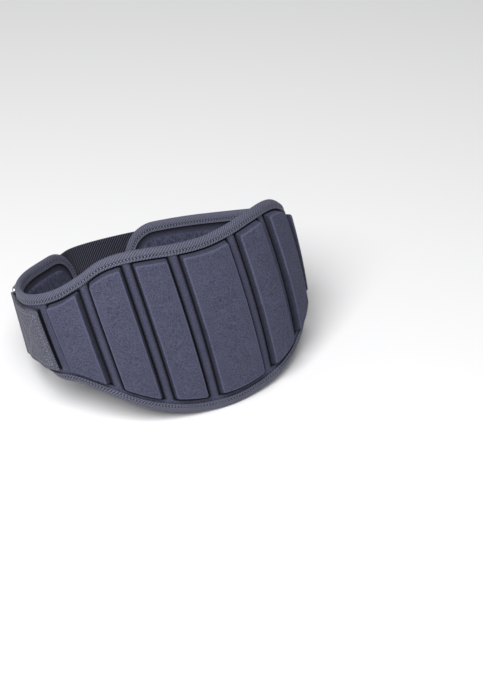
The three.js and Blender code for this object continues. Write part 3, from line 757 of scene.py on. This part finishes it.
# Nickel-plated steel wire: bright and smooth, with the faint drawn lines of the wire under the plating.
DRAWN_LINES = 900.0  # to the metre
steel, tree = new_material("nickel_plated_steel", metallic=1.0)
place = add_node(tree, "TexCoord")["Object"]
drawn = add_node(tree, "TexNoise", {"Vector": place, "Scale": DRAWN_LINES, "Detail": 2.0})["Fac"]
shader = tree.nodes["Principled BSDF"]
plating = add_node(tree, "Mix", {0: drawn, 6: colour("#B9BCC8"), 7: colour("#D9DBE4")}, data_type="RGBA")
polish = add_node(tree, "MapRange", {"Value": drawn, "To Min": 0.12, "To Max": 0.26})
tree.links.new(plating[2], shader.inputs["Base Color"])
tree.links.new(polish["Result"], shader.inputs["Roughness"])
ring.data.materials.append(steel)
belongs(ring, "steel_wire", "buckle_ring")

# Tab. A strip of basket-weave webbing is doubled over one bar of the ring. Its two ends lie one on the other,
# slant like the ribs and are sewn down to the wall.
TAB_UNDER = -0.198
TAB_END_LIFT, TAB_LIFTED = 0.0008, 0.012
SEWN_FROM = TAB_BAR + 0.016
BAND_SLOPE = 0.36
BAND_STEP, BAND_ROWS = 0.003, 16
BAND_EDGE = 0.0004
BAR_STEPS = 14


def bar_turn(bar, axis, radius, way, start, end):
    """Points of a band's middle line round a bar: the angle is 0 on the wall side and pi on the outside."""
    angle = np.linspace(start, end, BAR_STEPS + 1)
    return np.stack([bar + way * radius * np.sin(angle), axis - radius * np.cos(angle)], axis=1)


def landing(axis, radius, level):
    """How far from a bar a sloping band comes down from it to `level`."""
    fall = axis + radius * math.cos(BAND_SLOPE) - level
    return radius * math.sin(BAND_SLOPE) + fall / math.tan(BAND_SLOPE)


def level_run(start, end, out):
    along = steps_between(start, end, BAND_STEP)
    return np.stack([along, np.full(len(along), out)], axis=1)


def band(name, path, height, thickness, middle):
    """A band of webbing along a path of (along, out) points, with its centre line at the heights `middle`."""
    distance = np.concatenate([[0], np.cumsum(np.hypot(*np.diff(path, axis=0).T))])
    sheet = flat_grid(name, len(path) - 1, BAND_ROWS)
    column, row = grid_steps(sheet, len(path) - 1, BAND_ROWS)
    beside = height * (row / BAND_ROWS - 0.5)
    note_place(sheet, "cloth_place", np.stack([distance[column], beside, np.zeros(len(row))], axis=1))
    move_points(sheet, np.stack([path[column, 0], -path[column, 1], middle[column] + beside], axis=1))
    apply_modifier(sheet, "SOLIDIFY", thickness=thickness, offset=0)
    apply_modifier(sheet, "BEVEL", width=BAND_EDGE, segments=2, limit_method="ANGLE",
                   angle_limit=math.radians(50))
    return sheet, distance[-1]


upper = tab_level + TAB_WEBBING + CLOTH_GAP
down = TAB_BAR + landing(tab_axis, tab_radius, upper)
tab_path = np.concatenate([
    level_run(TAB_END, down, upper),
    bar_turn(TAB_BAR, tab_axis, tab_radius, -1, math.pi + BAND_SLOPE, 0),
    level_run(TAB_BAR, TAB_UNDER, tab_level)[1:],
])
tab, tab_length = band("webbing_tab", tab_path, TAB_HEIGHT, TAB_WEBBING, np.full(len(tab_path), TAB_MIDDLE))


def slanted(points, outer_layer):
    """Slants the tab's sewn end like the ribs, and lifts the cut end of its outer layer off the wall."""
    share = np.clip((points[:, 0] - SEWN_FROM) / (TAB_END - SEWN_FROM), 0, 1)
    lifted = np.clip(1 - (TAB_END - points[:, 0]) / TAB_LIFTED, 0, 1) ** 2 * outer_layer
    shift = np.stack([-TAB_SLANT * share * (points[:, 2] - TAB_MIDDLE), -TAB_END_LIFT * lifted,
                      np.zeros(len(points))], axis=1)
    return points + shift


points = points_of(tab)
move_points(tab, slanted(points, -points[:, 1] > tab_level + TAB_WEBBING / 2 + CLOTH_GAP / 2))
bend_round_waist(tab, sharp=50)

# Polyester webbing in a close basket weave: dull, speckled with lighter yarns. The yarns are 1 mm apart, and
# are drawn 2.8 mm apart with a speckle of 1.5 mm, so that they show.
TAB_YARN = 0.0040  # along the tab and up it
SPECKLES = 650.0  # to the metre
basket, tree = new_material("basket_weave_webbing", roughness=0.75, sheen_weight=0.08,
                            specular_ior_level=0.25)
place = add_node(tree, "Attribute", attribute_name="cloth_place")["Vector"]
warp = ridges(tree, place, (1 / TAB_YARN, 1 / TAB_YARN, 0))
weft = ridges(tree, place, (1 / TAB_YARN, -1 / TAB_YARN, 0))
crossed = add_node(tree, "Math", {0: warp, 1: weft}, operation="SUBTRACT")[0]
crossed = add_node(tree, "Math", {0: crossed}, operation="ABSOLUTE")[0]
speckle = add_node(tree, "TexNoise", {"Vector": place, "Scale": SPECKLES, "Detail": 1.0,
                                      "Roughness": 0.6})["Fac"]
speckle = add_node(tree, "MapRange", {"Value": speckle, "From Min": 0.42, "From Max": 0.58})["Result"]
shade = add_node(tree, "Mix", {0: 0.55, 2: crossed, 3: speckle})[0]
finish_cloth(tree, shade, "#75778C", "#020204", shade, 0.0008)
tab.data.materials.append(basket)
belongs(tab, "tab_webbing", "buckle_tab")

# The tab is sewn down with a box and a cross, and once more close to the ring.
BOX_MARGIN = 0.006
BOX_FROM, RING_SEAM = TAB_BAR + 0.026, TAB_BAR + 0.018
RING_SEAM_LONGER = 0.002  # at either end, than the box is tall
top, bottom = TAB_MIDDLE + TAB_HEIGHT / 2 - BOX_MARGIN, TAB_MIDDLE - TAB_HEIGHT / 2 + BOX_MARGIN
near_end, near_ring = TAB_END - BOX_MARGIN, BOX_FROM
box = [(near_end, top), (near_end, bottom), (near_ring, bottom), (near_ring, top), (near_end, top),
       (near_ring, bottom), (near_end, bottom), (near_ring, top)]
corners = np.array([(x, -(upper + TAB_WEBBING / 2), z) for x, z in box])
lines = [corners[i:i + 2] for i in (0, 1, 2, 3, 4, 6)]
seam_ends = (top + RING_SEAM_LONGER, bottom - RING_SEAM_LONGER)
lines.append(np.array([(RING_SEAM, corners[0][1], z) for z in seam_ends]))
rows = [evenly(line, STITCH_PITCH) for line in lines]
places = slanted(np.concatenate([places for places, _ in rows]), True)
ways = np.concatenate([ways for _, ways in rows])
sew("tab_stitching", places, ways, -1.0)

# Closure strap. One length of 75 mm twill webbing is sewn over the strap-side wing, crosses the open front,
# passes through the ring and is turned back on itself.
STRAP_START = 0.203
STRAP_HEIGHT, STRAP_MIDDLE, STRAP_TIP_MIDDLE = 0.073, 0.017, 0.0148
STRAP_FOLD = 0.022
CROSSING_HANDLE, CROSSING_POINTS = 0.28, 400


def crossing_curve(share):
    """Points and headings of the strap across the open front, before the belt is stood."""
    ends = np.array([STRAP_END, BUCKLE_END])
    x, y, heading = on_waist(ends)
    place = np.stack([x + strap_level * np.sin(heading), y - strap_level * np.cos(heading)], axis=1)
    handle = CROSSING_HANDLE * np.linalg.norm(place[1] - place[0])
    way = np.stack([np.cos(heading), np.sin(heading)], axis=1)
    a, b, c, d = place[0], place[0] + handle * way[0], place[1] - handle * way[1], place[1]
    t = share[:, None]
    points = a * (1 - t) ** 3 + 3 * b * t * (1 - t) ** 2 + 3 * c * t**2 * (1 - t) + d * t**3
    slope = 3 * ((b - a) * (1 - t) ** 2 + 2 * (c - b) * t * (1 - t) + (d - c) * t**2)
    return points, np.arctan2(slope[:, 1], slope[:, 0])


fine_share = np.linspace(0, 1, CROSSING_POINTS)
fine_points, _ = crossing_curve(fine_share)
fine_distance = np.concatenate([[0], np.cumsum(np.hypot(*np.diff(fine_points, axis=0).T))])
CROSSING = float(fine_distance[-1])
ROUND_AGAIN = STRAP_END + CROSSING - BUCKLE_END


def strap_wrapped(run, out, up):
    """Like wrapped(), for the strap, whose run goes on over the crossing and then the buckle wing."""
    along = np.where(run > STRAP_END + CROSSING, run - ROUND_AGAIN, np.minimum(run, STRAP_END))
    on_wall = wrapped(along, out, up)
    share = np.interp(run - STRAP_END, fine_distance, fine_share)
    middle, heading = crossing_curve(share)
    beside = (out - strap_level)[:, None] * np.stack([np.sin(heading), -np.cos(heading)], axis=1)
    in_air = stood(np.concatenate([middle + beside, up[:, None]], axis=1))
    crossing = (run > STRAP_END) & (run < STRAP_END + CROSSING)
    return np.where(crossing[:, None], in_air, on_wall)


bar = FREE_BAR + ROUND_AGAIN
upper = strap_level + STRAP_WEBBING + CLOTH_GAP
down = bar - landing(strap_axis, strap_radius, upper)
strap_path = np.concatenate([
    level_run(STRAP_START, bar, strap_level)[:-1],
    bar_turn(bar, strap_axis, strap_radius, 1, 0, math.pi + BAND_SLOPE),
    level_run(down, bar - STRAP_FOLD, upper),
])
run_share = np.linspace(0, 1, len(strap_path))
strap, strap_length = band("webbing_strap", strap_path, STRAP_HEIGHT, STRAP_WEBBING,
                           STRAP_MIDDLE + (STRAP_TIP_MIDDLE - STRAP_MIDDLE) * run_share)
points = points_of(strap)
move_points(strap, strap_wrapped(points[:, 0], -points[:, 1], points[:, 2]))
bpy.ops.object.shade_smooth_by_angle(angle=math.radians(50))

# Polyester webbing in a steep twill: dark, with fine slanting ribs that catch the light. The ribs are 1.2 mm
# apart, and are drawn twice as coarse so that they show.
STRAP_RIB, STRAP_RIB_SLANT = 0.0030, 0.7
STRAP_YARNS = 600.0  # to the metre
steep, tree = new_material("steep_twill_webbing", roughness=0.65, sheen_weight=0.08, specular_ior_level=0.25)
place = add_node(tree, "Attribute", attribute_name="cloth_place")["Vector"]
ribs = ridges(tree, place, (1 / STRAP_RIB, STRAP_RIB_SLANT / STRAP_RIB, 0))
yarns = add_node(tree, "TexNoise", {"Vector": place, "Scale": STRAP_YARNS, "Detail": 2.0})["Fac"]
yarns = add_node(tree, "MapRange", {"Value": yarns, "To Min": 0.4, "To Max": 1.4})["Result"]
crests = add_node(tree, "MapRange", {"Value": ribs, "From Min": 0.62})["Result"]
shade = add_node(tree, "Math", {0: crests, 1: yarns}, operation="MULTIPLY")[0]
finish_cloth(tree, shade, "#50516A", "#010102", ribs, 0.0006)
strap.data.materials.append(steep)
belongs(strap, "strap_webbing", "closure_strap")

# Label. A plain patch of woven damask lies over the strap's sewn end, with its edges turned under and sewn
# down all round.
LABEL_FROM, LABEL_TO, LABEL_MIDDLE, LABEL_HEIGHT = 0.206, 0.330, 0.017, 0.053
LABEL_CLOTH = 0.0008
LABEL_SEAM = 0.003  # in from the edge
label_out = STRAP_LIFT + STRAP_WEBBING + LABEL_CLOTH / 2
label_path = level_run(LABEL_FROM, LABEL_TO, label_out + CLOTH_GAP)
label, label_length = band("woven_label", label_path, LABEL_HEIGHT, LABEL_CLOTH,
                           np.full(len(label_path), LABEL_MIDDLE))
bend_round_waist(label)

# Woven damask label: smooth and satiny, with fine weft lines along it and nothing woven in. The lines are
# too fine to show as they are, and are drawn 1.8 mm apart.
WEFT, SLUBS = 0.0018, 350.0
satin, tree = new_material("damask_label", roughness=0.45, sheen_weight=0.2, specular_ior_level=0.4)
place = add_node(tree, "Attribute", attribute_name="cloth_place")["Vector"]
weft = ridges(tree, place, (0, 1 / WEFT, 0))
slub = add_node(tree, "TexNoise", {"Vector": place, "Scale": SLUBS, "Detail": 2.0})["Fac"]
shade = add_node(tree, "Mix", {0: 0.6, 2: weft, 3: slub})[0]
finish_cloth(tree, shade, "#8189A0", "#5F667E", weft, 0.0002)
label.data.materials.append(satin)
belongs(label, "woven_label", "label_patch")
left, right = LABEL_FROM + LABEL_SEAM, LABEL_TO - LABEL_SEAM
top, bottom = LABEL_MIDDLE + LABEL_HEIGHT / 2 - LABEL_SEAM, LABEL_MIDDLE - LABEL_HEIGHT / 2 + LABEL_SEAM
label_face = -(label_out + CLOTH_GAP + LABEL_CLOTH / 2)
corners = ((left, top), (right, top), (right, bottom), (left, bottom), (left, top))
border = np.array([(x, label_face, z) for x, z in corners])
places, ways = evenly(border, STITCH_PITCH)
sew("label_stitching", places, ways, -1.0)

# Floor. A plain pale studio floor, which isn't part of the belt.
bpy.ops.object.select_all(action="DESELECT")
bpy.ops.mesh.primitive_circle_add(vertices=96, radius=14, fill_type="NGON")
floor = bpy.context.object
floor.name = "studio_floor"
paint, tree = new_material("matt_studio_paint", roughness=0.9, base_color=colour("#EDEDEE"))
floor.data.materials.append(paint)

# Camera. It looks down at the ribbed back from the buckle side, with a long lens.
CAMERA_AZIMUTH, CAMERA_ELEVATION, CAMERA_ROLL = (math.radians(angle) for angle in (-30.504, 35.743, -2.273))
CAMERA_AIM = Vector((0.05789, -0.08821, 0.03237))
CAMERA_DISTANCE, CAMERA_LENS = 2.14184, 99.02
bpy.ops.object.camera_add(location=(0, 0, 0))
camera = bpy.context.object
back = Vector((math.sin(CAMERA_AZIMUTH) * math.cos(CAMERA_ELEVATION),
               -math.cos(CAMERA_AZIMUTH) * math.cos(CAMERA_ELEVATION), math.sin(CAMERA_ELEVATION)))
camera.rotation_mode = "QUATERNION"
camera.rotation_quaternion = (-back).to_track_quat("-Z", "Y") @ Euler((0, 0, CAMERA_ROLL)).to_quaternion()
camera.location = CAMERA_AIM + back * CAMERA_DISTANCE
camera.data.sensor_width = 36
camera.data.lens = CAMERA_LENS
bpy.context.scene.camera = camera

# Lights. A broad soft lamp overhead, a little to the left, and a pale sky all round.
LAMP_PLACE, LAMP_AIM = Vector((-1.05, -0.98, 2.20)), Vector((0, 0, 0.1))
LAMP_SIZE, LAMP_POWER, SKY_STRENGTH = 1.7, 89, 0.27
bpy.context.scene.view_settings.view_transform = "Standard"
bpy.ops.object.light_add(type="AREA", location=LAMP_PLACE)
key = bpy.context.object
key.data.shape = "RECTANGLE"
key.data.size, key.data.size_y = LAMP_SIZE, LAMP_SIZE
key.data.energy = LAMP_POWER
key.rotation_euler = (LAMP_AIM - LAMP_PLACE).to_track_quat("-Z", "Y").to_euler()
world = bpy.context.scene.world or bpy.data.worlds.new("pale_sky")
bpy.context.scene.world = world
world.use_nodes = True
world.node_tree.nodes["Background"].inputs["Color"].default_value = (1, 1, 1, 1)
world.node_tree.nodes["Background"].inputs["Strength"].default_value = SKY_STRENGTH
